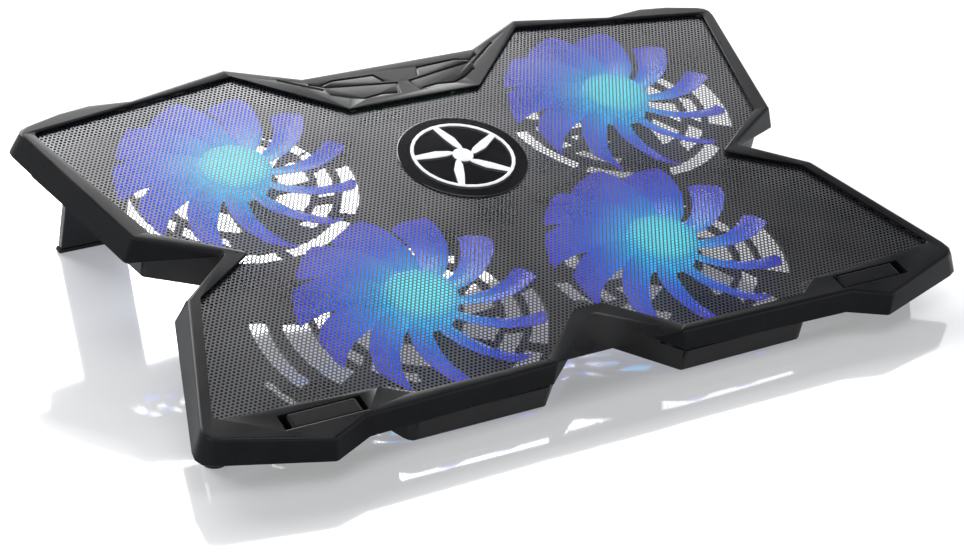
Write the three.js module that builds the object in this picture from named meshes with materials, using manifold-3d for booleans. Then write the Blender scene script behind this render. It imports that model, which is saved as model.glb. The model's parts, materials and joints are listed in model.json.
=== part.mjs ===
// Laptop cooling pad: a notched frame with a perforated sheet over four fans, standing on two rear legs.
// Millimetres, +Z up, +X right, +Y to the rear. The pad is drawn flat in its own frame, whose top face is
// z = 0 with the badge at x = y = 0, and is then tilted and lifted on to its feet.
import * as THREE from "three";
import { mergeVertices } from "three/addons/utils/BufferGeometryUtils.js";
import Module from "manifold-3d";

// ---- driving dimensions -------------------------------------------------------------------------
const TILT = 14.5; // degrees that the rear of the pad is raised
const BADGE_HEIGHT = 59; // height of the badge centre above the desk
const GAP = 0.3; // clearance between touching pieces
const ARC_STEPS = 3; // segments in a rounded corner of an outline

const DECK = 1.4; // thickness of the frame's top face
const FRAME_WALL = 1.8;
const SHEET_TOP = -1.7; // perforated sheet, held under the frame's top face
const SHEET = 0.8;
const SHEET_MARGIN = 0.9; // how far the sheet reaches under the frame
const BASE_TOP = -2.9; // upper edge of the base's wall
const BASE_WALL = 2;
const FLOOR_TOP = -14.5; // base floor
const FLOOR = 2;
const BASE_BOTTOM = -22;

// Outline corners of the left half, from the middle of the front to the middle of the rear: x, y, radius.
const RIM = [
  [0, -118.8, 2.5],
  [-31.4, -142.8, 3],
  [-120.5, -144.4, 0],
  [-138, -152.8, 3],
  [-187.3, -136, 8],
  [-160, -56, 4],
  [-132, -32.5, 2.5],
  [-166.4, -11.2, 3],
  [-187.8, 77, 7],
  [-165, 83.8, 0],
  [-150, 86, 0],
  [-130, 84, 0],
  [-79.3, 95, 3],
  [-46.3, 77.5, 3],
];
// The foot of the frame's wall under each of those corners: x, y, radius, depth below the top face.
const SKIRT = [
  [0, -119.6, 2.5, 2.9],
  [-33.2, -145.8, 3, 9],
  [-118.8, -147, 0, 10.4],
  [-137, -155, 3, 10.8],
  [-191.2, -138.6, 8, 11],
  [-165.6, -56.4, 4, 10.4],
  [-133.6, -33.2, 2.5, 2.9],
  [-170.4, -12.4, 3, 12],
  [-191.8, 79, 7, 11.6],
  [-166, 87.8, 0, 11],
  [-150, 90, 0, 11],
  [-131, 88, 0, 11],
  [-79.5, 98.8, 3, 11],
  [-45.8, 81, 3, 11],
];
// Opening in the frame over the perforated sheet.
const OPENING = [
  [-7, -114.8, 1.5],
  [-34.6, -139.6, 2],
  [-97.2, -138.8, 1],
  [-109, -131.2, 1],
  [-179, -127, 3],
  [-154.6, -56.6, 3],
  [-123, -35.2, 2],
  [-158.4, -10.2, 2],
  [-181, 73, 3],
  [-78, 89.3, 2],
  [-35, 48.4, 2],
];
// Outline of the base, which stands inside the frame's wall except along its front lip.
const TRAY = [
  [0, -108, 3],
  [-34.2, -144.6, 3],
  [-98, -144.6, 6],
  [-105, -131, 3],
  [-180.6, -128, 8],
  [-157.2, -57.6, 4],
  [-127.6, -33.4, 2.5],
  [-161.4, -12.2, 4],
  [-183.2, 73, 6],
  [-165, 81.2, 0],
  [-150, 83.2, 0],
  [-130, 81.4, 0],
  [-79, 91.4, 3],
  [-46, 74.4, 3],
];

const BADGE = { radius: 30.8, top: -1, ringOuter: 24.6, ringInner: 23, blades: 5 };
const FANS = {
  rear: [101.5, 28.2],
  front: [62.1, -79.5],
};
const FAN = { hub: 16.6, cup: 14, top: -4, bottom: -12.5, shaft: 1.5 };
const BLADES = { count: 11, tip: 55, rootWidth: 9, spread: 10, pitch: 21, sweep: 20, thickness: 1.1 };
const BLADE_TURN = { rear: 18.5, front: 14 }; // where the first blade of a rotor stands, in degrees
const VENT_RIB = 4;
// Rows of slots under a left fan: radii about the fan, then degrees. The right fans have them mirrored.
const VENT_ROWS = [
  { inner: 20.5, outer: 35.5, from: -70, to: 245, slots: 8, sweep: 14 },
  { inner: 38.5, outer: 46, from: -70, to: 245, slots: 9, sweep: 4 },
  { inner: 49.5, outer: 57.2, from: -135, to: 0, slots: 3, sweep: 2 },
  { inner: 48.5, outer: 61, from: 168, to: 211, slots: 1, sweep: 0 },
];
// Curved slots beside the front left fan, towards the corner.
const CORNER_ROWS = [
  { inner: 66.5, outer: 74.5, from: 166, to: 202, slots: 1, sweep: 0 },
  { inner: 80, outer: 84.5, from: 193, to: 212, slots: 1, sweep: 0 },
];
const STOPPER = { inner: -118.9, outer: -151, front: -141.3, rear: -133.5, pivotX: -121.6, pivotZ: -2.5 };
const LEG = { x: -145.5, width: 32, y: 78, z: -19.4, thickness: 4.6, rake: 8, pin: 1.5 };
const PORTS = { spacing: 22, width: 13.1, height: 5.7, depth: 14, bottom: -9.7, front: 64.4 };
const SWITCH = { x: 29, width: 12, slot: 7.6, knob: 3.2 };
const CASE_SCREW = { x: 40, y: 62, shank: 1, head: 2.6, length: 9 };
const BOARD = { bottom: -11.2, top: -10, screwX: 27, screwY: 58, shift: -1 };
const FRONT_FOOT = { x: 173.5, y: -121.5, radius: 5.2, height: 6 };
const REAR_FOOT = { x: 64, y: 72, radius: 5, bottom: -25 };
const SOLE = 2.4; // rubber under a leg

const radians = THREE.MathUtils.degToRad;

// Distance of the leg's pin from the desk, square to the desk.
const LEG_REACH = BADGE_HEIGHT + LEG.y * Math.sin(radians(TILT)) + LEG.z * Math.cos(radians(TILT));

const wasm = await Module();
wasm.setup();

// ---- small geometry helpers -----------------------------------------------------------------------
function solid(geometry) {
  const bare = geometry.clone();
  bare.deleteAttribute("normal");
  bare.deleteAttribute("uv");
  const merged = mergeVertices(bare, 1e-4);
  return new wasm.Manifold(
    new wasm.Mesh({
      numProp: 3,
      vertProperties: new Float32Array(merged.attributes.position.array),
      triVerts: new Uint32Array(merged.index.array),
    }),
  );
}

function geometryOf(manifold) {
  const mesh = manifold.getMesh();
  const geometry = new THREE.BufferGeometry();
  geometry.setAttribute("position", new THREE.BufferAttribute(new Float32Array(mesh.vertProperties), 3));
  geometry.setIndex(new THREE.BufferAttribute(new Uint32Array(mesh.triVerts), 1));
  return geometry;
}

function join(first, ...rest) {
  return geometryOf(rest.reduce((all, next) => all.add(solid(next)), solid(first)));
}

function cut(first, ...rest) {
  return geometryOf(rest.reduce((all, next) => all.subtract(solid(next)), solid(first)));
}

/** Box between two opposite corners. */
function block([x0, y0, z0], [x1, y1, z1]) {
  const box = new THREE.BoxGeometry(Math.abs(x1 - x0), Math.abs(y1 - y0), Math.abs(z1 - z0));
  return box.translate((x0 + x1) / 2, (y0 + y1) / 2, (z0 + z1) / 2);
}

/** Upright cylinder between two heights. */
function post(x, y, radius, bottom, top, sides = 20) {
  const rod = new THREE.CylinderGeometry(radius, radius, top - bottom, sides);
  return rod.rotateX(Math.PI / 2).translate(x, y, (top + bottom) / 2);
}

/** Rod along x. */
function rodX(x0, x1, y, z, radius, sides = 16) {
  const rod = new THREE.CylinderGeometry(radius, radius, x1 - x0, sides);
  return rod.rotateZ(Math.PI / 2).translate((x0 + x1) / 2, y, z);
}

/** Rod along y. */
function rodY(x, y0, y1, z, radius, sides = 16) {
  return new THREE.CylinderGeometry(radius, radius, y1 - y0, sides).translate(x, (y0 + y1) / 2, z);
}

/** Solid of revolution about an upright axis, from [radius, z] pairs. */
function turned(profile, sides = 24) {
  const points = profile.map(([radius, z]) => new THREE.Vector2(radius, z));
  return new THREE.LatheGeometry(points, sides).rotateX(Math.PI / 2);
}

/** Whole outline from the corners of its left half, which is repeated mirrored on the right. */
function mirrored(half) {
  const right = half
    .filter(([x]) => x !== 0)
    .map(([x, ...rest]) => [-x, ...rest])
    .reverse();
  return [...half, ...right];
}

/** Points of a closed outline with its corners rounded; extra numbers of a corner pass to its points. */
function rounded(corners) {
  return corners.flatMap(([x, y, radius, ...extra], i) => {
    const corner = new THREE.Vector2(x, y);
    if (!radius) return [[x, y, ...extra]];
    const before = corners[(i + corners.length - 1) % corners.length];
    const after = corners[(i + 1) % corners.length];
    const back = new THREE.Vector2(before[0], before[1]).sub(corner).normalize();
    const ahead = new THREE.Vector2(after[0], after[1]).sub(corner).normalize();
    const half = back.angleTo(ahead) / 2;
    const start = back.multiplyScalar(radius / Math.tan(half)).add(corner);
    const end = ahead.multiplyScalar(radius / Math.tan(half)).add(corner);
    const curve = new THREE.QuadraticBezierCurve(start, corner, end);
    return curve.getPoints(ARC_STEPS).map((point) => [point.x, point.y, ...extra]);
  });
}

/** Outline moved inwards by a distance, keeping its number of points. */
function inset(points, distance) {
  const area = points.reduce((sum, [x, y], i) => {
    const [nextX, nextY] = points[(i + 1) % points.length];
    return sum + x * nextY - nextX * y;
  }, 0);
  const side = Math.sign(area) * distance;
  return points.map(([x, y, ...extra], i) => {
    const [x0, y0] = points[(i + points.length - 1) % points.length];
    const [x1, y1] = points[(i + 1) % points.length];
    const before = new THREE.Vector2(y0 - y, x - x0).normalize();
    const after = new THREE.Vector2(y - y1, x1 - x).normalize();
    const middle = before.clone().add(after).normalize();
    const shift = side / Math.max(middle.dot(after), 0.5);
    return [x + middle.x * shift, y + middle.y * shift, ...extra];
  });
}

const shapeOf = (points) => new THREE.Shape(points.map(([x, y]) => new THREE.Vector2(x, y)));

/** Flat plate of an outline between two heights. */
function plate(points, bottom, top) {
  const depth = top - bottom;
  return new THREE.ExtrudeGeometry(shapeOf(points), { depth, bevelEnabled: false }).translate(0, 0, bottom);
}

/** Flat plate between an outline and a hole in it. */
function frameOf(points, hole, bottom, top) {
  return cut(plate(points, bottom, top), plate(hole, bottom - 1, top + 1));
}

/** Closed ring whose cross-section runs through the given loops of [x, y, z] points. */
function ring(loops) {
  const count = loops[0].length;
  const index = [];
  loops.forEach((_, l) => {
    const here = l * count;
    const next = ((l + 1) % loops.length) * count;
    for (let i = 0; i < count; i += 1) {
      const j = (i + 1) % count;
      index.push(here + i, here + j, next + i, here + j, next + j, next + i);
    }
  });
  const geometry = new THREE.BufferGeometry();
  geometry.setAttribute("position", new THREE.Float32BufferAttribute(loops.flat(2), 3));
  geometry.setIndex(index);
  return geometry;
}

/** Shallow cutter that follows a polyline with a constant width. */
function groove(points, width, bottom, top) {
  const strips = points.slice(1).map(([x1, y1], i) => {
    const [x0, y0] = points[i];
    const length = Math.hypot(x1 - x0, y1 - y0) + width;
    const strip = new THREE.BoxGeometry(length, width, top - bottom);
    strip.rotateZ(Math.atan2(y1 - y0, x1 - x0));
    return strip.translate((x0 + x1) / 2, (y0 + y1) / 2, (top + bottom) / 2);
  });
  return strips;
}

const mirrorX = (points) => points.map(([x, ...rest]) => [-x, ...rest]);

// ---- materials ------------------------------------------------------------------------------------
const finish = (color, roughness, metalness = 0, extra = {}) => () =>
  new THREE.MeshStandardMaterial({ color, roughness, metalness, ...extra });
const blackPlastic = finish(0x1b1c1f, 0.5);
const basePlastic = finish(0x202124, 0.6);
const steelSheet = finish(0x4a4b50, 0.45, 0.8);
const glossBlack = finish(0x0a0a0c, 0.12);
const silver = finish(0xd8dade, 0.3, 0.9);
const blueBlade = finish(0x2a48d8, 0.25, 0, { transparent: true, opacity: 0.75 });
const steel = finish(0xb4b7bc, 0.35, 1);
const brass = finish(0xb08d4c, 0.4, 1);
const copper = finish(0xa85a32, 0.45, 0.9);
const boardGreen = finish(0x1f5a3a, 0.55);
const rubber = finish(0x131314, 0.9);
const cableBlack = finish(0x18181a, 0.6);

// ---- pieces of the pad, drawn flat ------------------------------------------------------------------
const rim = rounded(mirrored(RIM));
const skirt = rounded(mirrored(SKIRT));
const tray = rounded(mirrored(TRAY));
const opening = rounded(mirrored(OPENING));

const sides = [-1, 1]; // left, right
const onSide = (side, x) => (side < 0 ? x : -x);
const caseScrewAt = (side, radius, bottom, top, facets) =>
  post(side * CASE_SCREW.x, CASE_SCREW.y, radius, bottom, top, facets);
const boardScrewAt = (side, radius, bottom, top, facets) =>
  post(side * BOARD.screwX + BOARD.shift, BOARD.screwY, radius, bottom, top, facets);

/** Walls of the pocket that a stopper folds into, and the space inside them. */
function stopperPocket(side) {
  const outer = onSide(side, STOPPER.outer - 3.2);
  const inner = onSide(side, STOPPER.inner + 0.8);
  const shell = block([outer + side, -143, -6.2], [inner - side, -131.9, -DECK / 2]);
  const space = block([outer, STOPPER.front - 0.5, -5.2], [inner, STOPPER.rear + 0.5, 1]);
  const hull = block([outer + side * 1.4, -144, -6.6], [inner - side * 1.4, -131.5, -1.5]);
  return { shell, space, hull };
}

function topFrame() {
  const wall = ring([
    rim.map(([x, y]) => [x, y, 0]),
    skirt.map(([x, y, depth]) => [x, y, -depth]),
    inset(skirt, FRAME_WALL).map(([x, y, depth]) => [x, y, -depth]),
    inset(rim, FRAME_WALL).map(([x, y]) => [x, y, -DECK / 2]),
  ]);
  const deck = frameOf(rim, opening, -DECK, 0);
  const bosses = sides.map((side) => caseScrewAt(side, 3.2, FLOOR_TOP + GAP, -DECK / 2, 14));
  const pockets = sides.map(stopperPocket);
  const pinHoles = sides.map((side) =>
    rodY(onSide(side, STOPPER.pivotX), -142.6, -132.2, STOPPER.pivotZ, 1.3),
  );
  const portHoles = sides.map((side) => portHole(portX(side)));
  const switchSlot = block([SWITCH.x - 4.2, 70, -9], [SWITCH.x + 4.2, 84, -5.9]);
  const body = join(wall, deck, ...bosses, ...pockets.map(({ shell }) => shell));
  return cut(
    body,
    ...pockets.map(({ space }) => space),
    ...pinHoles,
    ...portHoles,
    switchSlot,
    ...sides.map((side) => caseScrewAt(side, 1.2, FLOOR_TOP - 1, -5, 12)),
    ...rearGrooves(),
  );
}

const portX = (side) => side * (PORTS.spacing / 2) - 4;
const portHole = (x) =>
  block([x - PORTS.width / 2 - 0.4, 70, PORTS.bottom - 0.4], [x + PORTS.width / 2 + 0.4, 84, -3.6]);

/** Angular lines engraved in the wide panel at the middle of the rear. */
function rearGrooves() {
  const lines = [
    [[-40, 69.8], [-33, 71.8], [-12, 70.6], [-9.4, 65]],
    [[-45, 72], [-38.5, 67.4], [-3.4, 61.6], [-5.6, 53.8]],
    [[-38.5, 61.4], [-31, 56.6], [-24, 54], [-15, 55.4], [-7.4, 54.2]],
    [[-58, 79.4], [-49, 72], [-41, 66]],
  ];
  return lines.flatMap((line) => [...groove(line, 1.1, -0.5, 1), ...groove(mirrorX(line), 1.1, -0.5, 1)]);
}

function meshPanel() {
  const sheet = plate(inset(opening, -SHEET_MARGIN), SHEET_TOP - SHEET, SHEET_TOP);
  return cut(sheet, ...sides.map((side) => stopperPocket(side).hull));
}

/** A row's slots through the floor, round a fan of that side. */
function slotRow([x, y], side, { inner, outer, from, to, slots, sweep }) {
  const pitch = (to - from) / slots;
  const rib = slots > 1 ? THREE.MathUtils.radToDeg(VENT_RIB / ((inner + outer) / 2)) : 0;
  const steps = Math.max(2, Math.round((radians(pitch) * outer) / 9));
  const at = (radius, degrees) => [
    x - side * radius * Math.cos(radians(degrees)),
    y + radius * Math.sin(radians(degrees)),
  ];
  return Array.from({ length: slots }, (_, slot) => {
    const start = from + slot * pitch + rib / 2;
    const along = Array.from({ length: steps + 1 }, (_, i) => start + ((pitch - rib) * i) / steps);
    const near = along.map((degrees) => at(inner, degrees));
    const far = along.map((degrees) => at(outer, degrees + sweep)).reverse();
    return plate([...near, ...far], FLOOR_TOP - FLOOR - 1, FLOOR_TOP + 1);
  });
}

/** Every slot of the grille under one fan. The floor stays closed in front of the motor. */
const grille = (centre) => VENT_ROWS.flatMap((row) => slotRow(centre, Math.sign(centre[0]), row));

/** Slots beside the front left fan, towards the outer front corner. */
const cornerSlots = () => CORNER_ROWS.flatMap((row) => slotRow([-FANS.front[0], FANS.front[1]], -1, row));

const fanCentres = [
  ["rear_left", [-FANS.rear[0], FANS.rear[1]]],
  ["rear_right", FANS.rear],
  ["front_left", [-FANS.front[0], FANS.front[1]]],
  ["front_right", FANS.front],
];

function baseShell() {
  const wall = frameOf(tray, inset(tray, BASE_WALL), BASE_BOTTOM, BASE_TOP);
  const floor = cut(
    plate(inset(tray, BASE_WALL / 2), FLOOR_TOP - FLOOR, FLOOR_TOP),
    ...fanCentres.flatMap(([, centre]) => grille(centre)),
    ...cornerSlots(),
  );
  const ears = sides.flatMap((side) =>
    [-1, 1].map((end) => {
      const x = side * -LEG.x + end * (LEG.width / 2 + 2);
      return block([x - 1.2, LEG.y - 4, BASE_BOTTOM], [x + 1.2, LEG.y + 2.4, FLOOR_TOP - FLOOR / 2]);
    }),
  );
  const standoffs = sides.map((side) => boardScrewAt(side, 2.2, FLOOR_TOP - 1, BOARD.bottom - GAP, 12));
  const body = join(wall, floor, ...ears, ...standoffs);
  const legSlots = sides.map((side) => {
    const x = side * -LEG.x;
    const reach = LEG.width / 2 + 0.5;
    return block([x - reach, LEG.y - 6, BASE_BOTTOM - 2], [x + reach, 100, FLOOR_TOP - FLOOR - GAP]);
  });
  const pins = sides.map((side) => {
    const x = side * -LEG.x;
    return rodX(x - LEG.width / 2 - 3.4, x + LEG.width / 2 + 3.4, LEG.y, LEG.z, LEG.pin + GAP, 12);
  });
  const frontRelief = block([-110, -150, -11.1], [110, -136, 0]);
  const rearRelief = block([-38, 68, -11.4], [38, 90, 0]);
  const screwHoles = sides.flatMap((side) => [
    caseScrewAt(side, 1.8, -18, -12, 12),
    boardScrewAt(side, 1.1, -14, -10, 10),
  ]);
  return cut(
    body,
    ...legSlots,
    ...pins,
    frontRelief,
    rearRelief,
    ...screwHoles,
  );
}

/** Swept and pitched blade, as a thin closed solid between two radii. */
function blade(angle) {
  const spans = 6;
  const chords = 2;
  const index = [];
  const positions = [];
  const at = (i, j, side) => {
    const s = i / (spans - 1);
    const t = j / (chords - 1) - 0.5;
    const radius = THREE.MathUtils.lerp(FAN.hub - 1.2, BLADES.tip, s);
    const width = BLADES.rootWidth + BLADES.spread * s ** 0.8;
    const rise = width * Math.tan(radians(BLADES.pitch));
    const turn = angle + radians(BLADES.sweep) * s ** 1.5 + (t * width) / radius;
    const z = -8.3 - t * rise + side * (BLADES.thickness / 2);
    positions.push(radius * Math.cos(turn), radius * Math.sin(turn), z);
  };
  [1, -1].forEach((side) => {
    for (let i = 0; i < spans; i += 1) for (let j = 0; j < chords; j += 1) at(i, j, side);
  });
  const bottom = spans * chords;
  const quad = (a, b, c, d) => index.push(a, b, c, a, c, d);
  for (let i = 0; i < spans - 1; i += 1) {
    for (let j = 0; j < chords - 1; j += 1) {
      const a = i * chords + j;
      quad(a, a + chords, a + chords + 1, a + 1);
      quad(bottom + a, bottom + a + 1, bottom + a + chords + 1, bottom + a + chords);
    }
  }
  const edge = [];
  for (let i = 0; i < spans - 1; i += 1) edge.push([i * chords, (i + 1) * chords]);
  for (let j = 0; j < chords - 1; j += 1) edge.push([(spans - 1) * chords + j, (spans - 1) * chords + j + 1]);
  for (let i = spans - 1; i > 0; i -= 1) edge.push([i * chords + chords - 1, (i - 1) * chords + chords - 1]);
  for (let j = chords - 1; j > 0; j -= 1) edge.push([j, j - 1]);
  edge.forEach(([a, b]) => quad(a, bottom + a, bottom + b, b));
  const geometry = new THREE.BufferGeometry();
  geometry.setAttribute("position", new THREE.Float32BufferAttribute(positions, 3));
  geometry.setIndex(index);
  return geometry;
}

function fanRotor(phase) {
  const cup = turned(
    [
      [0, FAN.top],
      [FAN.hub - 1.4, FAN.top],
      [FAN.hub, FAN.top - 1.4],
      [FAN.hub, FAN.bottom],
      [FAN.cup, FAN.bottom],
      [FAN.cup, FAN.top - 2],
      [0, FAN.top - 2],
    ].reverse(),
    28,
  );
  const pitch = (2 * Math.PI) / BLADES.count;
  const blades = Array.from({ length: BLADES.count }, (_, i) => blade(phase + i * pitch));
  return join(cup, ...blades);
}

/** Tube about an upright axis. */
const tube = (inner, outer, bottom, top, sides) =>
  turned([[inner, bottom], [outer, bottom], [outer, top], [inner, top], [inner, bottom]], sides);

/** Four-pole motor winding. */
function stator() {
  const poles = [];
  for (let pole = 0; pole < 4; pole += 1) {
    const middle = (pole * Math.PI) / 2;
    const corners = [[-0.62, 12.2], [0, 12.8], [0.62, 12.2], [0.72, 7.4]]; // turn in radians, radius
    corners.forEach(([turn, radius]) =>
      poles.push([radius * Math.cos(middle + turn), radius * Math.sin(middle + turn)]),
    );
  }
  return cut(plate(poles, -11.6, -7.2), post(0, 0, 3.6, -13, -6, 12));
}

function ledBoard() {
  const disc = post(0, 0, 15.6, -14.2, -13.2, 20);
  return cut(disc, post(0, 0, 3.6, -15, -12, 12));
}

/** Lead from a fan's board to the supply board, lying just over the base floor. */
function fanLead(route) {
  const curve = new THREE.CatmullRomCurve3(route.map(([x, y]) => new THREE.Vector3(x, y, -13.5)));
  const section = new THREE.Shape();
  section.absarc(0, 0, 0.6, 0, 2 * Math.PI);
  return new THREE.ExtrudeGeometry(section, {
    steps: 9,
    curveSegments: 5,
    bevelEnabled: false,
    extrudePath: curve,
  });
}
const leadRoutes = {
  rear: [[84.8, 30], [66, 37], [46, 47], [33, 50.6]],
  front: [[54, -64.6], [34, -34], [18, 12], [10, 50]],
};

/** Flip-up stopper lying in its pocket, drawn for the left side about its pin. */
function stopper() {
  const high = STOPPER.pivotZ + 0.1;
  const profile = [[STOPPER.outer - STOPPER.pivotX, -1.9], [STOPPER.outer - STOPPER.pivotX, 1.2]];
  profile.push([STOPPER.outer - STOPPER.pivotX + 1.2, -high]);
  for (let i = 0; i <= 6; i += 1) {
    const turn = Math.PI / 2 - (i * Math.PI) / 6;
    profile.push([2.4 * Math.cos(turn), 2.4 * Math.sin(turn)]);
  }
  const bar = new THREE.ExtrudeGeometry(shapeOf(profile), {
    depth: STOPPER.rear - STOPPER.front,
    bevelEnabled: false,
  });
  bar.rotateX(Math.PI / 2).translate(0, STOPPER.rear, 0);
  return cut(bar, rodY(0, STOPPER.front - 1, STOPPER.rear + 1, 0, 1.3));
}

/** Leg hanging from its pin; its foot is cut level with the desk when the pad is raised. */
function rearLeg() {
  const half = LEG.thickness / 2;
  const level = radians(TILT + LEG.rake);
  const sole = (y) => -(LEG_REACH - SOLE) / Math.cos(level) + GAP - y * Math.tan(level);
  const profile = [[-half, 0], [-half, sole(-half)], [half, sole(half)], [half, 0]];
  for (let i = 1; i < 6; i += 1) {
    const turn = (i * Math.PI) / 6;
    profile.push([half * Math.cos(turn), half * Math.sin(turn)]);
  }
  const arm = new THREE.ExtrudeGeometry(shapeOf(profile), { depth: LEG.width, bevelEnabled: false });
  arm.rotateX(Math.PI / 2).rotateZ(Math.PI / 2).translate(-LEG.width / 2, 0, 0);
  return cut(arm, rodX(-LEG.width / 2 - 1, LEG.width / 2 + 1, 0, 0, LEG.pin + GAP, 12));
}

/** Rubber sole under a leg, with its lower face level with the desk. */
function legPad() {
  const level = radians(TILT + LEG.rake);
  const half = LEG.thickness / 2 + 0.2;
  const bottom = (y) => -LEG_REACH / Math.cos(level) - y * Math.tan(level);
  const top = (y) => bottom(y) + SOLE / Math.cos(level);
  const profile = [[-half, bottom(-half)], [half, bottom(half)], [half, top(half)], [-half, top(-half)]];
  const sole = new THREE.ExtrudeGeometry(shapeOf(profile), { depth: LEG.width + 1.6, bevelEnabled: false });
  return sole.rotateX(Math.PI / 2).rotateZ(Math.PI / 2).translate(-LEG.width / 2 - 0.8, 0, 0);
}

/** Round rubber foot under the base whose lower face is level with the desk. */
function frontFoot(x, y) {
  const deskAt = (atY) => (-BADGE_HEIGHT - atY * Math.sin(radians(TILT))) / Math.cos(radians(TILT));
  const stem = post(x, y, FRONT_FOOT.radius, deskAt(y) - FRONT_FOOT.height, BASE_BOTTOM - GAP, 20);
  const desk = new THREE.BoxGeometry(30, 30, 20).translate(0, 0, -10);
  desk.rotateX(-radians(TILT)).translate(x, y, deskAt(y));
  return cut(stem, desk);
}

const rearFoot = (x) =>
  post(x, REAR_FOOT.y, REAR_FOOT.radius, REAR_FOOT.bottom, FLOOR_TOP - FLOOR - GAP, 20);

/** Generic fan mark inside a thin ring, standing on the badge. */
function badgeRing() {
  const { ringOuter, ringInner, top, blades } = BADGE;
  const bottom = top + GAP;
  const circle = tube(ringInner, ringOuter, bottom, bottom + 0.5, 32);
  const spokes = Array.from({ length: blades }, (_, i) => {
    const turn = (i * 2 * Math.PI) / blades;
    const leading = [[3, -0.8], [7, -0.4], [13, 1.8], [18, 5.6], [22.2, 8.8]];
    const trailing = [[20.4, 11], [13, 7.2], [7, 3.4]];
    return plate([...leading, ...trailing], bottom, bottom + 0.5).rotateZ(turn);
  });
  return join(circle, post(0, 0, 5, bottom, bottom + 0.5, 14), ...spokes);
}

function usbSocket() {
  const { width, height, depth, bottom, front } = PORTS;
  const shell = block([-width / 2, front, bottom], [width / 2, front + depth, bottom + height]);
  const wall = 0.6;
  const mouth = block(
    [-width / 2 + wall, front + 2, bottom + wall],
    [width / 2 - wall, front + depth + 1, bottom + height - wall],
  );
  const tongue = block([-5.6, front + 1, bottom + 2.9], [5.6, front + depth - 1.6, bottom + 4.4]);
  return join(cut(shell, mouth), tongue);
}

function switchHousing() {
  const { x, width, slot } = SWITCH;
  const body = block([x - width / 2, 65.4, -9.7], [x + width / 2, 73.6, -5]);
  return cut(body, block([x - slot / 2, 69.6, -8.9], [x + slot / 2, 76, -6]));
}

function switchKnob() {
  const left = SWITCH.x - SWITCH.slot / 2 + 0.4;
  return join(
    block([left, 70, -8.5], [left + SWITCH.knob, 80.2, -6.4]),
    block([left + 0.4, 80, -8.3], [left + SWITCH.knob - 0.4, 81.4, -6.6]),
  );
}

function supplyBoard() {
  const board = block([-36, 52.6, BOARD.bottom], [36, 72.2, BOARD.top]);
  const clear = sides.map((side) => caseScrewAt(side, 4, -12, -9, 16));
  const holes = sides.map((side) => boardScrewAt(side, 1, -12, -9, 10));
  return cut(board, ...clear, ...holes);
}

/** Pan-head screw driven upwards, its head at the bottom. */
function screw(length, shank, head) {
  return turned(
    [
      [0, -1.6],
      [head - 0.5, -1.6],
      [head, -1],
      [head, 0],
      [shank, 0],
      [shank, length],
      [0, length],
    ],
    12,
  );
}

// ---- assembly ---------------------------------------------------------------------------------------
const pad = new THREE.Group();

function add(name, geometry, material, [x, y, z] = [0, 0, 0], parent = pad) {
  const mesh = new THREE.Mesh(geometry, material());
  mesh.name = name;
  mesh.position.set(x, y, z);
  parent.add(mesh);
  return mesh;
}

add("top_frame", topFrame(), blackPlastic);
add("mesh_panel", meshPanel(), steelSheet);
add("base_shell", baseShell(), basePlastic);
add("badge_disc", post(0, 0, BADGE.radius, SHEET_TOP + GAP, BADGE.top, 48), glossBlack);
add("badge_ring", badgeRing(), silver);

fanCentres.forEach(([where, [x, y]]) => {
  const end = where.startsWith("rear") ? "rear" : "front";
  add(`fan_rotor_${where}`, fanRotor(radians(BLADE_TURN[end])), blueBlade, [x, y, 0]);
  add(`fan_shaft_${where}`, post(0, 0, FAN.shaft, -12.6, FAN.top - 2 - GAP, 12), steel, [x, y, 0]);
  add(`fan_bearing_${where}`, tube(1.8, 3.2, -14.2, -7, 12), brass, [x, y, 0]);
  add(`fan_stator_${where}`, stator(), copper, [x, y, 0]);
  add(`fan_led_board_${where}`, ledBoard(), boardGreen, [x, y, 0]);
  const route = leadRoutes[end];
  add(`fan_lead_${where}`, fanLead(where.endsWith("left") ? mirrorX(route) : route), cableBlack);
});

sides.forEach((side) => {
  const where = side < 0 ? "left" : "right";
  const pivot = new THREE.Group();
  pivot.position.set(onSide(side, STOPPER.pivotX), 0, STOPPER.pivotZ);
  pad.add(pivot);
  const bar = stopper();
  if (side > 0) bar.rotateZ(Math.PI).translate(0, STOPPER.front + STOPPER.rear, 0);
  add(`stopper_${where}`, bar, blackPlastic, [0, 0, 0], pivot);
  add(`stopper_pin_${where}`, rodY(0, -142.5, -132.3, 0, 1, 12), steel, [0, 0, 0], pivot);

  const hip = new THREE.Group();
  hip.position.set(side * -LEG.x, LEG.y, LEG.z);
  pad.add(hip);
  const leg = new THREE.Group();
  leg.rotation.x = radians(LEG.rake);
  hip.add(leg);
  add(`rear_leg_${where}`, rearLeg(), blackPlastic, [0, 0, 0], leg);
  add(`leg_sole_${where}`, legPad(), rubber, [0, 0, 0], leg);
  const legPin = rodX(-LEG.width / 2 - 3, LEG.width / 2 + 3, 0, 0, LEG.pin, 12);
  add(`leg_pin_${where}`, legPin, steel, [0, 0, 0], hip);

  add(`front_foot_${where}`, frontFoot(side * FRONT_FOOT.x, FRONT_FOOT.y), rubber);
  add(`rear_foot_${where}`, rearFoot(side * REAR_FOOT.x), rubber);
  add(`usb_socket_${where}`, usbSocket(), steel, [portX(side), 0, 0]);
  const { x, y, shank, head, length } = CASE_SCREW;
  add(`case_screw_${where}`, screw(length, shank, head), steel, [side * x, y, FLOOR_TOP - FLOOR - GAP]);
  const boardScrew = screw(3.4, 0.8, 1.6).rotateX(Math.PI);
  const boardScrewX = side * BOARD.screwX + BOARD.shift;
  add(`board_screw_${where}`, boardScrew, steel, [boardScrewX, BOARD.screwY, BOARD.top + GAP]);
});

add("supply_board", supplyBoard(), boardGreen);
add("switch_housing", switchHousing(), cableBlack);
add("switch_knob", switchKnob(), blackPlastic);

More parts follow.
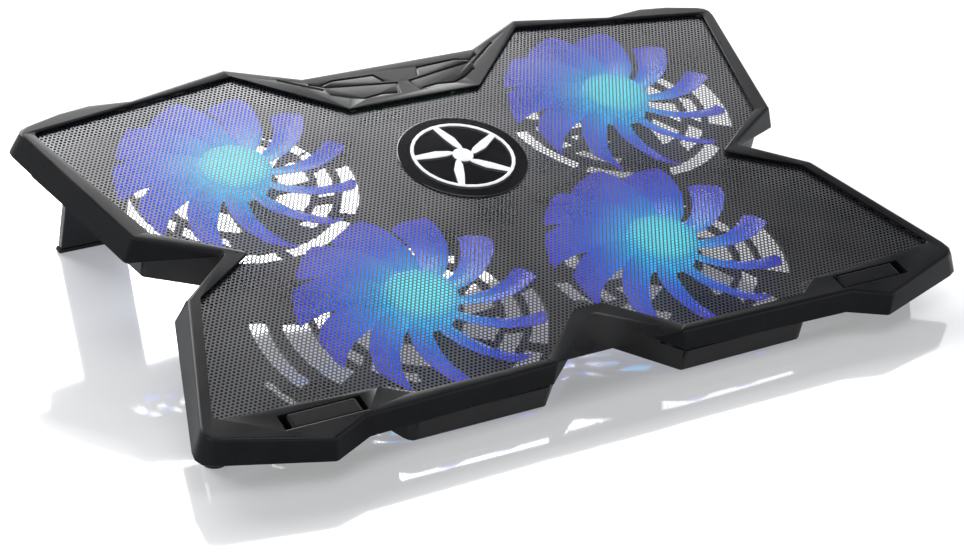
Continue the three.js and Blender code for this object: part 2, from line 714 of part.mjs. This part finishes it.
pad.rotation.x = radians(TILT);
pad.position.z = BADGE_HEIGHT;
const coolingPad = new THREE.Group();
coolingPad.add(pad);

// The origin is on the desk under the middle of the pad's outer box.
coolingPad.updateMatrixWorld(true);
const middle = new THREE.Box3().setFromObject(coolingPad, true).getCenter(new THREE.Vector3());
pad.position.y -= middle.y;

export default coolingPad;
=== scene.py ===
"""Looks of a laptop cooling pad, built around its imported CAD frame. Metres, +Z up, +Y to the rear."""

import math

import bmesh
import bpy
import numpy as np
from mathutils import Matrix, Vector
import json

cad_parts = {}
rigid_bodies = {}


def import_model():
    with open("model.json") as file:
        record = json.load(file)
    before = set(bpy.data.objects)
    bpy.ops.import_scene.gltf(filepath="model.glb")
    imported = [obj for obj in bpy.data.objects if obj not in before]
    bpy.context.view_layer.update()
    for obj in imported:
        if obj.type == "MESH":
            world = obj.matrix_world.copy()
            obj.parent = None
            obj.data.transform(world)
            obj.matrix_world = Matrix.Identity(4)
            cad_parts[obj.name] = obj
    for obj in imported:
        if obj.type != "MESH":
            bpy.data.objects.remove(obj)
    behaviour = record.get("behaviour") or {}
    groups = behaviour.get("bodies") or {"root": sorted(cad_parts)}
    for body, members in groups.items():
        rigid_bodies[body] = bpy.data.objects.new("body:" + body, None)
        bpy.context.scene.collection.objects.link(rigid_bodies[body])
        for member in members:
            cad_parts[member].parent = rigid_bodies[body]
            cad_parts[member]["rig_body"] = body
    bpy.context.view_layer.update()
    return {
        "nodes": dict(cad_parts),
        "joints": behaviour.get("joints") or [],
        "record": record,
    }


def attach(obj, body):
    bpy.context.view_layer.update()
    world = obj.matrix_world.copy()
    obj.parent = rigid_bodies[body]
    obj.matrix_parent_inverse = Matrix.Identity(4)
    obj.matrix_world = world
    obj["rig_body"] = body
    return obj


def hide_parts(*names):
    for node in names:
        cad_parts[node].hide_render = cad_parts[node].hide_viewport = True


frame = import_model()

MM = 0.001
SIDES = ("left", "right")
FANS = ("rear_left", "rear_right", "front_left", "front_right")
JOINTS = {joint["name"]: joint for joint in frame["joints"]}

# ---- the pad's own frame: z = 0 on its top face, the badge at x = y = 0, in millimetres ----------
NORMAL = Vector(JOINTS["fan_spin_rear_left"]["axis"])
TILT = math.atan2(-NORMAL.y, NORMAL.z)
REAR_FAN = Vector((101.5, 28.2, -8))  # where the right rear fan's joint is in the pad's frame
TURN = Matrix.Rotation(TILT, 4, "X")
ORIGIN = Vector(JOINTS["fan_spin_rear_right"]["pos_m"]) - TURN @ (REAR_FAN * MM)
PAD = Matrix.Translation(ORIGIN) @ TURN @ Matrix.Scale(MM, 4)
PAD_INVERSE = PAD.inverted()

# Left half of the frame's opening over the sheet, from the middle of the front: x, y, corner radius.
OPENING = [
    (-7, -114.8, 1.5),
    (-34.6, -139.6, 2),
    (-97.2, -138.8, 1),
    (-109, -131.2, 1),
    (-179, -127, 3),
    (-154.6, -56.6, 3),
    (-123, -35.2, 2),
    (-158.4, -10.2, 2),
    (-181, 73, 3),
    (-78, 89.3, 2),
    (-35, 48.4, 2),
]
SHEET_TOP = -1.72
PITCH = 2.0  # between holes of the sheet, staggered
HOLE = 0.72  # corner radius of a hole
BORDER = 1.1  # how far the sheet reaches under the frame

EYE = Vector((-461.8, -695.7, 589.2))
AIM = Vector((-34.9, -83.0, 0))
ROLL = math.radians(1.16)
LENS = 82.5


def on_pad(x, y, z):
    """Point of the pad's frame, in metres in the row frame."""
    return PAD @ Vector((x, y, z))


# ---- materials ----------------------------------------------------------------------------------
class Finish:
    """A Principled material with a few procedural helpers."""

    def __init__(self, name, color, roughness, metallic=0.0, specular=0.5):
        self.material = bpy.data.materials.new(name)
        self.material.use_nodes = True
        self.nodes = self.material.node_tree.nodes
        self.links = self.material.node_tree.links
        self.shader = self.nodes["Principled BSDF"]
        self.color = color
        self.roughness = roughness
        self.set("Base Color", (*color, 1))
        self.set("Roughness", roughness)
        self.set("Metallic", metallic)
        self.set("Specular IOR Level", specular)
        self.place = self.nodes.new("ShaderNodeTexCoord").outputs["Object"]

    def set(self, socket, value):
        self.shader.inputs[socket].default_value = value

    def node(self, kind, **values):
        made = self.nodes.new(kind)
        for key, value in values.items():
            setattr(made, key, value)
        return made

    def link(self, source, target):
        self.links.new(source, target)

    def noise(self, scale, detail=3.0, stretch=(1, 1, 1)):
        mapping = self.node("ShaderNodeMapping")
        mapping.inputs["Scale"].default_value = stretch
        self.link(self.place, mapping.inputs["Vector"])
        noise = self.node("ShaderNodeTexNoise")
        noise.inputs["Scale"].default_value = scale
        noise.inputs["Detail"].default_value = detail
        self.link(mapping.outputs["Vector"], noise.inputs["Vector"])
        return noise.outputs["Fac"]

    def ramp(self, factor, stops):
        ramp = self.node("ShaderNodeValToRGB")
        elements = ramp.color_ramp.elements
        while len(elements) < len(stops):
            elements.new(0.5)
        for element, (position, color) in zip(elements, stops):
            element.position = position
            element.color = (*color, 1)
        self.link(factor, ramp.inputs["Fac"])
        return ramp.outputs["Color"]

    def spread(self, factor, low, high):
        """Factor, from 0 to 1, mapped to a range of values."""
        mapped = self.node("ShaderNodeMapRange")
        mapped.inputs["From Min"].default_value = 0.3
        mapped.inputs["From Max"].default_value = 0.7
        mapped.inputs["To Min"].default_value = low
        mapped.inputs["To Max"].default_value = high
        self.link(factor, mapped.inputs["Value"])
        return mapped.outputs["Result"]

    def mottle(self, scale, amount, detail=4.0, stretch=(1, 1, 1)):
        """Slight change of colour over the surface."""
        dark = tuple(part * (1 - amount) for part in self.color)
        light = tuple(min(1, part * (1 + amount)) for part in self.color)
        color = self.ramp(self.noise(scale, detail, stretch), [(0.3, dark), (0.7, light)])
        self.link(color, self.shader.inputs["Base Color"])
        return self

    def polish(self, scale, amount, stretch=(1, 1, 1)):
        """Uneven gloss."""
        low = max(0.02, self.roughness - amount)
        rough = self.spread(self.noise(scale, 3.0, stretch), low, self.roughness + amount)
        self.link(rough, self.shader.inputs["Roughness"])
        return self

    def grain(self, scale, height, detail=2.0, stretch=(1, 1, 1)):
        """Fine raised texture, its height in metres."""
        bump = self.node("ShaderNodeBump")
        bump.inputs["Distance"].default_value = height
        bump.inputs["Strength"].default_value = 1.0
        self.link(self.noise(scale, detail, stretch), bump.inputs["Height"])
        self.link(bump.outputs["Normal"], self.shader.inputs["Normal"])
        return self

    def facing(self, socket, walls, deck):
        """Gives a socket one value on walls and another on faces that look along the pad's normal."""
        normal = self.node("ShaderNodeNewGeometry").outputs["Normal"]
        upward = self.node("ShaderNodeVectorMath", operation="DOT_PRODUCT")
        upward.inputs[1].default_value = NORMAL
        self.link(normal, upward.inputs[0])
        value = self.spread(upward.outputs["Value"], walls, deck)
        self.link(value, self.shader.inputs[socket])
        return self

    def glow(self, color, strength):
        self.set("Emission Color", (*color, 1))
        self.set("Emission Strength", strength)
        return self


def frame_plastic():
    finish = Finish("frame_plastic", (0.008, 0.0083, 0.0095), 0.3)
    # Less specular on the walls than on the deck: painted shade that keeps the walls dark, though the
    # plastic is the same all over.
    finish.facing("Specular IOR Level", 0.07, 0.27)
    return finish.mottle(90, 0.15).polish(60, 0.04).grain(2600, 0.00002).material


def base_plastic():
    finish = Finish("base_plastic", (0.007, 0.0072, 0.008), 0.45, specular=0.26)
    return finish.mottle(120, 0.2).polish(80, 0.06).grain(1800, 0.00004).material


def sheet_metal():
    finish = Finish("sheet_metal", (0.22, 0.221, 0.23), 0.29, metallic=1.0)
    return finish.mottle(14, 0.1).polish(30, 0.03).grain(3500, 0.000006).material


def badge_gloss():
    finish = Finish("badge_gloss", (0.006, 0.006, 0.007), 0.14, specular=0.6)
    finish.set("Coat Weight", 0.6)
    finish.set("Coat Roughness", 0.05)
    return finish.mottle(60, 0.2).polish(25, 0.03).material


def badge_mark():
    finish = Finish("badge_mark", (0.8, 0.81, 0.83), 0.3)
    # The faint emission is a painted highlight: it keeps the silver mark bright under any light, though
    # the mark is no lamp.
    finish.glow((0.9, 0.92, 1), 0.2)
    return finish.mottle(200, 0.05).polish(400, 0.06, stretch=(1, 8, 1)).grain(900, 0.000004).material


def plain_steel():
    finish = Finish("plain_steel", (0.5, 0.51, 0.53), 0.34, metallic=1.0)
    return finish.mottle(300, 0.08).polish(500, 0.08, stretch=(1, 1, 9)).grain(1500, 0.000006).material


def bearing_bronze():
    finish = Finish("bearing_bronze", (0.5, 0.32, 0.14), 0.42, metallic=1.0)
    return finish.mottle(900, 0.25).polish(700, 0.1).grain(2400, 0.00002).material


def winding_copper():
    finish = Finish("winding_copper", (0.55, 0.2, 0.08), 0.35, metallic=0.9)
    return finish.mottle(500, 0.2, stretch=(1, 12, 1)).polish(300, 0.08).grain(1600, 0.00005).material


def circuit_board():
    finish = Finish("circuit_board", (0.015, 0.12, 0.05), 0.32, specular=0.5)
    tracks = finish.node("ShaderNodeTexBrick")
    tracks.inputs["Scale"].default_value = 260
    tracks.inputs["Color1"].default_value = (0.012, 0.1, 0.042, 1)
    tracks.inputs["Color2"].default_value = (0.018, 0.14, 0.06, 1)
    tracks.inputs["Mortar"].default_value = (0.03, 0.2, 0.09, 1)
    tracks.inputs["Mortar Size"].default_value = 0.03
    finish.link(finish.place, tracks.inputs["Vector"])
    finish.link(tracks.outputs["Color"], finish.shader.inputs["Base Color"])
    return finish.polish(200, 0.06).grain(900, 0.00001).material


def switch_plastic():
    finish = Finish("switch_plastic", (0.02, 0.02, 0.022), 0.45)
    return finish.mottle(400, 0.15).polish(200, 0.05).grain(2000, 0.00002).material


def lead_jacket():
    finish = Finish("lead_jacket", (0.014, 0.014, 0.016), 0.4)
    return finish.mottle(500, 0.2).polish(300, 0.08).grain(1800, 0.00002).material


def rubber():
    finish = Finish("rubber", (0.011, 0.011, 0.0115), 0.8, specular=0.25)
    return finish.mottle(300, 0.2).polish(250, 0.08).grain(1500, 0.00006).material


def reach_of(finish):
    """How far a point of a rotor is from its hub, from 0 to 1."""
    reach = finish.node("ShaderNodeAttribute", attribute_name="reach")
    return reach.outputs["Fac"]


def blade_blue():
    finish = Finish("blade_blue", (0.02, 0.06, 0.6), 0.22, specular=0.5)
    stops = [
        (0.0, (0.0, 0.5, 0.85)),
        (0.22, (0.0, 0.27, 0.88)),
        (0.5, (0.006, 0.1, 0.8)),
        (1.0, (0.03, 0.03, 0.6)),
    ]
    color = finish.ramp(reach_of(finish), stops)
    # Painted glints: fine specks of brighter and darker glow stand in for sparkling reflections on the
    # blades.
    painted_glints = finish.spread(finish.noise(700, 2.0), 0.82, 1.1)
    mixed = finish.node("ShaderNodeMix", data_type="RGBA", blend_type="MULTIPLY")
    mixed.inputs["Factor"].default_value = 1.0
    finish.link(color, mixed.inputs["A"])
    finish.link(painted_glints, mixed.inputs["B"])
    finish.link(mixed.outputs["Result"], finish.shader.inputs["Emission Color"])
    finish.link(color, finish.shader.inputs["Base Color"])
    finish.set("Emission Strength", 0.92)
    return finish.polish(300, 0.06).grain(600, 0.00002).material


def hub_cyan():
    finish = Finish("hub_cyan", (0.05, 0.5, 0.65), 0.3)
    stops = [(0.0, (0.1, 0.83, 0.95)), (0.7, (0.06, 0.72, 0.9)), (1.0, (0.0, 0.4, 0.8))]
    color = finish.ramp(reach_of(finish), stops)
    finish.link(color, finish.shader.inputs["Emission Color"])
    finish.set("Emission Strength", 1.15)
    return finish.mottle(150, 0.05).polish(200, 0.05).material


MATERIALS = {
    "frame_plastic": frame_plastic(),
    "sheet_metal": sheet_metal(),
    "base_plastic": base_plastic(),
    "badge_gloss": badge_gloss(),
    "badge_mark": badge_mark(),
    "steel": plain_steel(),
    "bearing_bronze": bearing_bronze(),
    "winding": winding_copper(),
    "circuit_board": circuit_board(),
    "switch_plastic": switch_plastic(),
    "lead_jacket": lead_jacket(),
    "rubber": rubber(),
    "fan_blade": blade_blue(),
}
HUB = hub_cyan()
SLOTS = {part["node"]: part["material_slot"] for part in frame["record"]["subparts"]}


def paint(thing, material):
    thing.data.materials.clear()
    thing.data.materials.append(material)


# ---- mesh helpers -------------------------------------------------------------------------------
def smooth(thing, angle=35.0):
    """Smooth shading that stays crisp over the given angle, with normals that favour large faces."""
    mesh = thing.data
    mesh.shade_smooth()
    mesh.set_sharp_from_angle(angle=math.radians(angle))
    weighted = thing.modifiers.new("weighted", "WEIGHTED_NORMAL")
    weighted.keep_sharp = True
    apply_modifiers(thing)


def apply_modifiers(thing):
    bpy.context.view_layer.update()
    graph = bpy.context.evaluated_depsgraph_get()
    baked = bpy.data.meshes.new_from_object(thing.evaluated_get(graph), depsgraph=graph)
    old = thing.data
    thing.modifiers.clear()
    thing.data = baked
    bpy.data.meshes.remove(old)


def piece_from(bm, name, materials, body, slot, *nodes):
    """New object from a bmesh, riding on a body and standing for CAD nodes."""
    mesh = bpy.data.meshes.new(name)
    for material in materials:
        mesh.materials.append(material)
    bm.to_mesh(mesh)
    bm.free()
    thing = bpy.data.objects.new(name, mesh)
    bpy.context.scene.collection.objects.link(thing)
    if nodes:
        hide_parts(*nodes)
    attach(thing, body)
    return thing


def cad_bmesh(node):
    """The node's solid with its flat faces merged."""
    bm = bmesh.new()
    bm.from_mesh(frame["nodes"][node].data)
    bmesh.ops.remove_doubles(bm, verts=bm.verts, dist=2e-5)
    limit = math.radians(0.6)
    bmesh.ops.dissolve_limit(bm, angle_limit=limit, verts=bm.verts, edges=bm.edges)
    return bm


def round_edges(bm, width, segments, wanted):
    """Rounds the edges for which wanted(edge) holds."""
    edges = [edge for edge in bm.edges if edge.is_manifold and wanted(edge)]
    bmesh.ops.bevel(
        bm,
        geom=edges,
        offset=width,
        segments=segments,
        profile=0.5,
        affect="EDGES",
        clamp_overlap=False,
        loop_slide=True,
    )


def is_sharp(edge, least=25.0):
    return edge.calc_face_angle(0) > math.radians(least)


def roomy(width, least=0.0):
    """Test for sharp edges, no shorter than least, beside faces that can take such a rounding."""

    def wanted(edge):
        if not is_sharp(edge) or edge.calc_length() < max(2.2 * width, least):
            return False
        return all(face.calc_area() > 6 * width * width for face in edge.link_faces)

    return wanted


def softened(node, width=0.35 * MM, segments=2, least=0.0):
    """Rounded copy of a CAD node, which it stands for."""
    bm = cad_bmesh(node)
    round_edges(bm, width, segments, roomy(width, least))
    return finished_copy(bm, node)


def finished_copy(bm, node):
    many_sided = [face for face in bm.faces if len(face.verts) > 4]
    bmesh.ops.triangulate(bm, faces=many_sided, ngon_method="EAR_CLIP")
    slot = SLOTS[node]
    body = frame["nodes"][node]["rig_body"]
    thing = piece_from(bm, f"{node}_shell", [MATERIALS[slot]], body, slot, node)
    smooth(thing)
    return thing


# ---- outlines -----------------------------------------------------------------------------------
def mirrored(half):
    right = [(-x, *rest) for x, *rest in half if x != 0]
    return list(half) + right[::-1]


def rounded(corners, steps=6):
    """Closed outline with its corners rounded."""
    points = []
    for i, (x, y, radius) in enumerate(corners):
        corner = Vector((x, y))
        before = Vector(corners[i - 1][:2]) - corner
        after = Vector(corners[(i + 1) % len(corners)][:2]) - corner
        half = before.angle(after) / 2
        start = corner + before.normalized() * (radius / math.tan(half))
        end = corner + after.normalized() * (radius / math.tan(half))
        for step in range(steps + 1):
            t = step / steps
            points.append(start * (1 - t) ** 2 + corner * 2 * t * (1 - t) + end * t * t)
    return np.array([tuple(point) for point in points])


def depth_inside(points, outline):
    """Signed distance of each point from a closed outline, positive inside."""
    best = np.full(len(points), 1e9)
    inside = np.zeros(len(points), bool)
    for a, b in zip(outline, np.roll(outline, -1, axis=0)):
        edge = b - a
        t = np.clip(((points - a) @ edge) / max(edge @ edge, 1e-12), 0, 1)
        best = np.minimum(best, np.hypot(*(points - a - t[:, None] * edge).T))
        above = (a[1] > points[:, 1]) != (b[1] > points[:, 1])
        rise = edge[1] if abs(edge[1]) > 1e-12 else 1e-12
        crossing = a[0] + (points[:, 1] - a[1]) * edge[0] / rise
        inside ^= above & (points[:, 0] < crossing)
    return np.where(inside, best, -best)


# ---- pieces -------------------------------------------------------------------------------------
def perforated_sheet():
    """Sheet with staggered six-sided holes: bridges between neighbours and a triangle among each three."""
    outline = rounded(mirrored(OPENING))
    row_step = PITCH * math.sqrt(3) / 2
    reach_x = math.ceil(190 / PITCH)
    rows = range(-math.ceil(145 / row_step), math.ceil(95 / row_step) + 1)
    sites = [(i, j) for j in rows for i in range(-reach_x, reach_x + 1)]
    centres = np.array([((i + (j % 2) / 2) * PITCH, j * row_step) for i, j in sites])
    depth = depth_inside(centres, outline)
    kept = {site: d for site, d in zip(sites, depth) if d > -BORDER}
    bm = bmesh.new()
    corners = {}
    for i, j in kept:
        x = (i + (j % 2) / 2) * PITCH
        y = j * row_step
        ring = []
        for corner in range(6):
            turn = math.radians(30 + 60 * corner)
            point = on_pad(x + HOLE * math.cos(turn), y + HOLE * math.sin(turn), SHEET_TOP)
            ring.append(bm.verts.new(point))
        corners[i, j] = ring
    for (i, j), ring in corners.items():
        if kept[i, j] < 0.1 - HOLE:
            bm.faces.new(ring)
        lean = j % 2
        east = corners.get((i + 1, j))
        north_east = corners.get((i + lean, j + 1))
        north_west = corners.get((i + lean - 1, j + 1))
        if east:
            bm.faces.new((ring[5], east[3], east[2], ring[0]))
        if north_east:
            bm.faces.new((ring[0], north_east[4], north_east[3], ring[1]))
        if north_west:
            bm.faces.new((ring[1], north_west[5], north_west[4], ring[2]))
        if east and north_east:
            bm.faces.new((ring[0], east[2], north_east[4]))
        if north_east and north_west:
            bm.faces.new((ring[1], north_east[3], north_west[5]))
    skins = [MATERIALS["sheet_metal"]]
    return piece_from(bm, "perforated_sheet", skins, "root", "sheet_metal", "mesh_panel")


def lathe(bm, profile, centre, sides=64, reach=None):
    """Solid of revolution about the pad's normal, from (radius, height) pairs that start and end at 0."""
    rings = []
    for radius, height in profile:
        if radius == 0:
            rings.append([bm.verts.new(PAD @ (centre + Vector((0, 0, height))))])
            continue
        ring = []
        for i in range(sides):
            turn = 2 * math.pi * i / sides
            offset = Vector((radius * math.cos(turn), radius * math.sin(turn), height))
            ring.append(bm.verts.new(PAD @ (centre + offset)))
        rings.append(ring)
    faces = []
    for low, high in zip(rings, rings[1:]):
        for i in range(sides):
            j = (i + 1) % sides
            corners = (low[i % len(low)], low[j % len(low)], high[j % len(high)], high[i % len(high)])
            faces.append(bm.faces.new(tuple(dict.fromkeys(corners))))
    return rings, faces


HUB_RADIUS = 16.6
CUP_RADIUS = 14.2
TIP_RADIUS = 55.0
BLADES = 11
ROTOR_TOP = -4.0
ROTOR_BOTTOM = -12.5
SWEEP = math.radians(20)
FIRST_BLADE = {"rear": math.radians(18.5), "front": math.radians(14)}


def blade_point(start, s, t, side):
    """Point of a blade: s from hub to tip, t across it from -0.5 to 0.5, side +1 above, -1 below."""
    front_corner = max(0.0, (-2 * t - 0.5) / 0.5)
    back_corner = max(0.0, (2 * t - 0.8) / 0.2)
    tip = TIP_RADIUS - 4.5 * front_corner**2.2 - 1.2 * back_corner**2
    radius = HUB_RADIUS - 1 + (tip - HUB_RADIUS + 1) * s
    width = 9 + 10 * s**0.8
    rise = width * math.tan(math.radians(24 - 3 * s))
    thick = 0.5 * (1 - 0.6 * abs(2 * t) ** 3) * (1 - 0.3 * s)
    turn = start + SWEEP * s**1.5 + t * width / radius
    camber = 0.8 * (1 - 4 * t * t)
    height = -8.5 - t * rise + camber + side * thick
    return Vector((radius * math.cos(turn), radius * math.sin(turn), height))


def fan_rotor(where):
    """Lit hub with eleven swept blades."""
    centre = PAD_INVERSE @ Vector(JOINTS[f"fan_spin_{where}"]["pos_m"])
    centre.z = 0
    bm = bmesh.new()
    reach = bm.verts.layers.float.new("reach")
    top = ROTOR_TOP
    cap = [(0, top + 0.0), (6, top), (HUB_RADIUS - 2.2, top - 0.12)]
    for step in range(5):
        turn = math.radians(90 * step / 4)
        cap.append((HUB_RADIUS - 1.2 + 1.2 * math.sin(turn), top - 0.3 - 1.2 * (1 - math.cos(turn))))
    skirt = [(HUB_RADIUS, ROTOR_BOTTOM), (CUP_RADIUS, ROTOR_BOTTOM), (CUP_RADIUS, top - 2), (0, top - 2)]
    rings, hub_faces = lathe(bm, cap + skirt, centre)
    for (radius, _), ring in zip(cap + skirt, rings):
        for vert in ring:
            vert[reach] = radius / HUB_RADIUS
    spans = 18
    chords = 7
    for blade in range(BLADES):
        start = FIRST_BLADE[where.split("_")[0]] + 2 * math.pi * blade / BLADES
        grid = {}
        for side in (1, -1):
            for i in range(spans + 1):
                for j in range(chords + 1):
                    s = i / spans
                    point = blade_point(start, s, j / chords - 0.5, side)
                    vert = bm.verts.new(PAD @ (centre + point))
                    vert[reach] = s
                    grid[side, i, j] = vert
        for i in range(spans):
            for j in range(chords):
                square = ((i, j), (i + 1, j), (i + 1, j + 1), (i, j + 1))
                bm.faces.new([grid[1, a, b] for a, b in square])
                bm.faces.new([grid[-1, a, b] for a, b in reversed(square)])
        rim = [(i, 0) for i in range(spans)] + [(spans, j) for j in range(chords)]
        rim += [(i, chords) for i in range(spans, 0, -1)] + [(0, j) for j in range(chords, 0, -1)]
        for a, b in zip(rim, rim[1:] + rim[:1]):
            bm.faces.new((grid[1, *a], grid[-1, *a], grid[-1, *b], grid[1, *b]))
    hub = set(hub_faces)
    for face in bm.faces:
        face.material_index = 1 if face in hub else 0
    skins = (MATERIALS["fan_blade"], HUB)
    thing = piece_from(bm, f"rotor_{where}", skins, f"fan_{where}", "fan_blade", f"fan_rotor_{where}")
    smooth(thing, 50)
    return thing


def top_frame():
    bm = cad_bmesh("top_frame")
    heights = {vert: (PAD_INVERSE @ vert.co).z for vert in bm.verts}

    def on_rim(edge):
        flat = all(abs(heights[vert]) < 0.02 for vert in edge.verts)
        outward = any(face.normal.dot(NORMAL) > 0.99 for face in edge.link_faces)
        big = all(face.calc_area() > 3 * MM * MM for face in edge.link_faces)
        return flat and outward and big and is_sharp(edge) and outside(edge)

    def outside(edge):
        """True on the frame's outer outline and false round its openings and grooves."""
        middle = PAD_INVERSE @ ((edge.verts[0].co + edge.verts[1].co) / 2)
        walls = [face for face in edge.link_faces if face.normal.dot(NORMAL) < 0.9]
        return bool(walls) and walls[0].normal.dot(NORMAL) > 0.05 and middle.z > -0.05

    round_edges(bm, 1.2 * MM, 4, on_rim)
    small = 0.3 * MM
    round_edges(bm, small, 1, lambda edge: roomy(small)(edge) and is_sharp(edge, 50))
    return finished_copy(bm, "top_frame")


def badge_disc():
    radius = 30.8
    top = -1.0
    bottom = -1.6
    edge = 0.5
    profile = [(0, top), (radius * 0.5, top), (radius - edge - 1, top)]
    for step in range(7):
        turn = math.radians(90 * step / 6)
        profile.append((radius - edge + edge * math.sin(turn), top - edge * (1 - math.cos(turn))))
    profile += [(radius, bottom), (0, bottom)]
    bm = bmesh.new()
    lathe(bm, profile, Vector((0, 0, 0)), 96)
    skins = [MATERIALS["badge_gloss"]]
    thing = piece_from(bm, "badge_dome", skins, "root", "badge_gloss", "badge_disc")
    smooth(thing, 40)


# ---- stage --------------------------------------------------------------------------------------
def make_camera():
    data = bpy.data.cameras.new("camera")
    data.lens = LENS
    data.sensor_width = 36
    camera = bpy.data.objects.new("camera", data)
    bpy.context.scene.collection.objects.link(camera)
    eye = PAD @ EYE
    turn = (PAD @ AIM - eye).to_track_quat("-Z", "Y").to_matrix().to_4x4()
    camera.matrix_world = Matrix.Translation(eye) @ turn @ Matrix.Rotation(ROLL, 4, "Z")
    bpy.context.scene.camera = camera


def make_floor():
    bm = bmesh.new()
    bmesh.ops.create_circle(bm, cap_ends=True, radius=9, segments=96)
    mesh = bpy.data.meshes.new("floor")
    bm.to_mesh(mesh)
    bm.free()
    floor = bpy.data.objects.new("floor", mesh)
    floor.location.z = -0.0002
    bpy.context.scene.collection.objects.link(floor)
    material = bpy.data.materials.new("floor")
    material.use_nodes = True
    nodes = material.node_tree.nodes
    links = material.node_tree.links
    nodes.clear()
    matte = nodes.new("ShaderNodeBsdfDiffuse")
    matte.inputs["Color"].default_value = (0.8, 0.81, 0.82, 1)
    shine = nodes.new("ShaderNodeBsdfGlossy")
    shine.inputs["Roughness"].default_value = 0.07
    shine.inputs["Color"].default_value = (0.95, 0.96, 0.97, 1)
    mix = nodes.new("ShaderNodeMixShader")
    mix.inputs["Fac"].default_value = 0.34
    lit = nodes.new("ShaderNodeEmission")
    lit.inputs["Strength"].default_value = 0.28
    added = nodes.new("ShaderNodeAddShader")
    out = nodes.new("ShaderNodeOutputMaterial")
    links.new(matte.outputs[0], mix.inputs[1])
    links.new(shine.outputs[0], mix.inputs[2])
    links.new(mix.outputs[0], added.inputs[0])
    links.new(lit.outputs[0], added.inputs[1])
    links.new(added.outputs[0], out.inputs["Surface"])
    mesh.materials.append(material)


def area_light(name, azimuth, elevation, distance, size, power, color=(1, 1, 1)):
    """Soft light aimed at the pad. Azimuth 0 is behind it, and 90 is to its right."""
    data = bpy.data.lights.new(name, "AREA")
    data.shape = "RECTANGLE"
    data.size, data.size_y = size
    data.energy = power
    data.color = color
    light = bpy.data.objects.new(name, data)
    a = math.radians(azimuth)
    e = math.radians(elevation)
    way = Vector((math.sin(a) * math.cos(e), math.cos(a) * math.cos(e), math.sin(e)))
    light.location = way * distance
    light.rotation_euler = (-way).to_track_quat("-Z", "Y").to_euler()
    bpy.context.scene.collection.objects.link(light)


def make_light():
    """Room that is bright near the horizon and dim overhead, with soft boxes over the pad."""
    world = bpy.data.worlds.new("studio")
    world.use_nodes = True
    nodes = world.node_tree.nodes
    links = world.node_tree.links
    way = nodes.new("ShaderNodeTexCoord")
    split = nodes.new("ShaderNodeSeparateXYZ")
    room = nodes.new("ShaderNodeMapRange")
    room.inputs["From Min"].default_value = math.sin(math.radians(30))
    room.inputs["From Max"].default_value = math.sin(math.radians(38))
    room.inputs["To Min"].default_value = 0.85
    room.inputs["To Max"].default_value = 0.04
    links.new(way.outputs["Generated"], split.inputs["Vector"])
    links.new(split.outputs["Z"], room.inputs["Value"])
    links.new(room.outputs["Result"], nodes["Background"].inputs["Strength"])
    nodes["Background"].inputs["Color"].default_value = (0.95, 0.97, 1, 1)
    bpy.context.scene.world = world
    bpy.context.scene.view_settings.view_transform = "Standard"
    area_light("rear_box", 0, 35, 2.2, (2.5, 1.1), 62)
    area_light("right_box", 44, 33, 2.2, (0.5, 0.4), 2)
    area_light("left_box", -110, 40, 1.6, (0.6, 0.6), 3)
    area_light("top_box", 170, 78, 1.8, (1.2, 1.2), 8)


# ---- assembly -----------------------------------------------------------------------------------
make_camera()
make_floor()
make_light()

for node, thing in frame["nodes"].items():
    paint(thing, MATERIALS[SLOTS[node]])

top_frame()
softened("base_shell", 0.35 * MM, 1, least=15 * MM)
perforated_sheet()
badge_disc()
softened("badge_ring", 0.1 * MM, 1)
for fan in FANS:
    fan_rotor(fan)
for side in SIDES:
    softened(f"stopper_{side}", 0.5 * MM, 3)
    softened(f"rear_leg_{side}", 0.6 * MM, 3)
    softened(f"leg_sole_{side}", 0.4 * MM, 2)
    softened(f"front_foot_{side}", 0.5 * MM, 2)
    softened(f"rear_foot_{side}", 0.5 * MM, 2)
